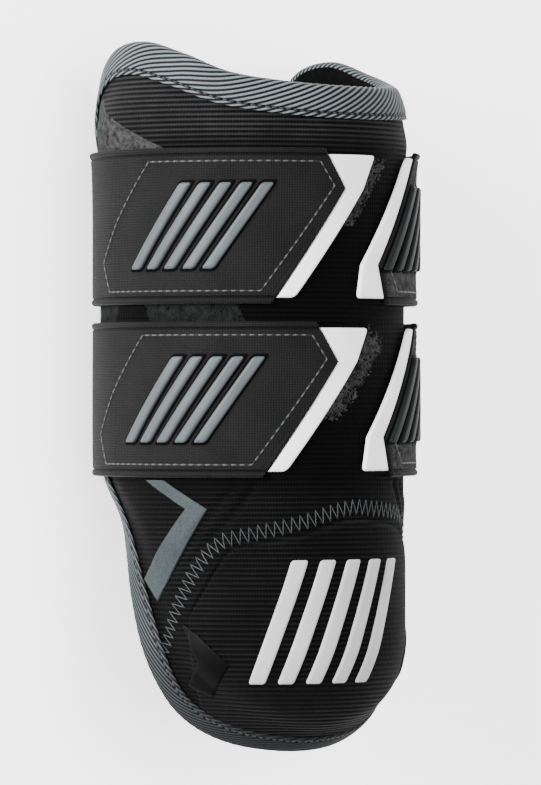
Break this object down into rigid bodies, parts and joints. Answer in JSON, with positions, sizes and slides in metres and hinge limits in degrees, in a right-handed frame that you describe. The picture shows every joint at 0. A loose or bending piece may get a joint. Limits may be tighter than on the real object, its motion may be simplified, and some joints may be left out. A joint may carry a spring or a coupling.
{
  "type": "baseball elbow guard",
  "caption": "Black padded batter's elbow guard with a bound edge, an elbow cup and wrap-round elastic straps with pale slanted end trims and grip ribs.",
  "frame": {"origin": "centre of the footprint, on the flat backs of the straps", "axes": "+X across the arm, +Y along the arm towards the upper arm end, +Z out of the front of the guard"},
  "size_m": [0.1168, 0.2494, 0.1004],
  "materials": {
    "knit": "ribbed knit over foam padding",
    "lining": "brushed",
    "tape": "ribbed diagonally",
    "webbing": "woven elastic, matte",
    "white": "satin",
    "grip": "satin",
    "film": "satin",
    "gloss": "smooth"
  },
  "bodies": {
    "root": {"cover_panel": "knit", "elbow_cup": "knit", "liner_pad": "lining", "edge_binding": "tape", "strap_upper": "webbing", "strap_lower": "webbing", "side_stripe_left": "film", "strap_tip_upper_left": "white", "tab_rib_upper_left_1": "grip", "tab_rib_upper_left_2": "grip", "tab_rib_upper_left_3": "grip", "tab_rib_upper_left_4": "grip", "tab_rib_upper_left_5": "grip", "strap_tip_lower_left": "white", "tab_rib_lower_left_1": "grip", "tab_rib_lower_left_2": "grip", "tab_rib_lower_left_3": "grip", "tab_rib_lower_left_4": "grip", "tab_rib_lower_left_5": "grip", "side_stripe_right": "film", "strap_tip_upper_right": "white", "tab_rib_upper_right_1": "grip", "tab_rib_upper_right_2": "grip", "tab_rib_upper_right_3": "grip", "tab_rib_upper_right_4": "grip", "tab_rib_upper_right_5": "grip", "strap_tip_lower_right": "white", "tab_rib_lower_right_1": "grip", "tab_rib_lower_right_2": "grip", "tab_rib_lower_right_3": "grip", "tab_rib_lower_right_4": "grip", "tab_rib_lower_right_5": "grip", "cup_rib_1": "white", "cup_rib_2": "white", "cup_rib_3": "white", "cup_rib_4": "white", "cup_rib_5": "white", "cup_stripe_left": "gloss", "cup_stripe_right": "gloss"}
  },
  "joints": []
}
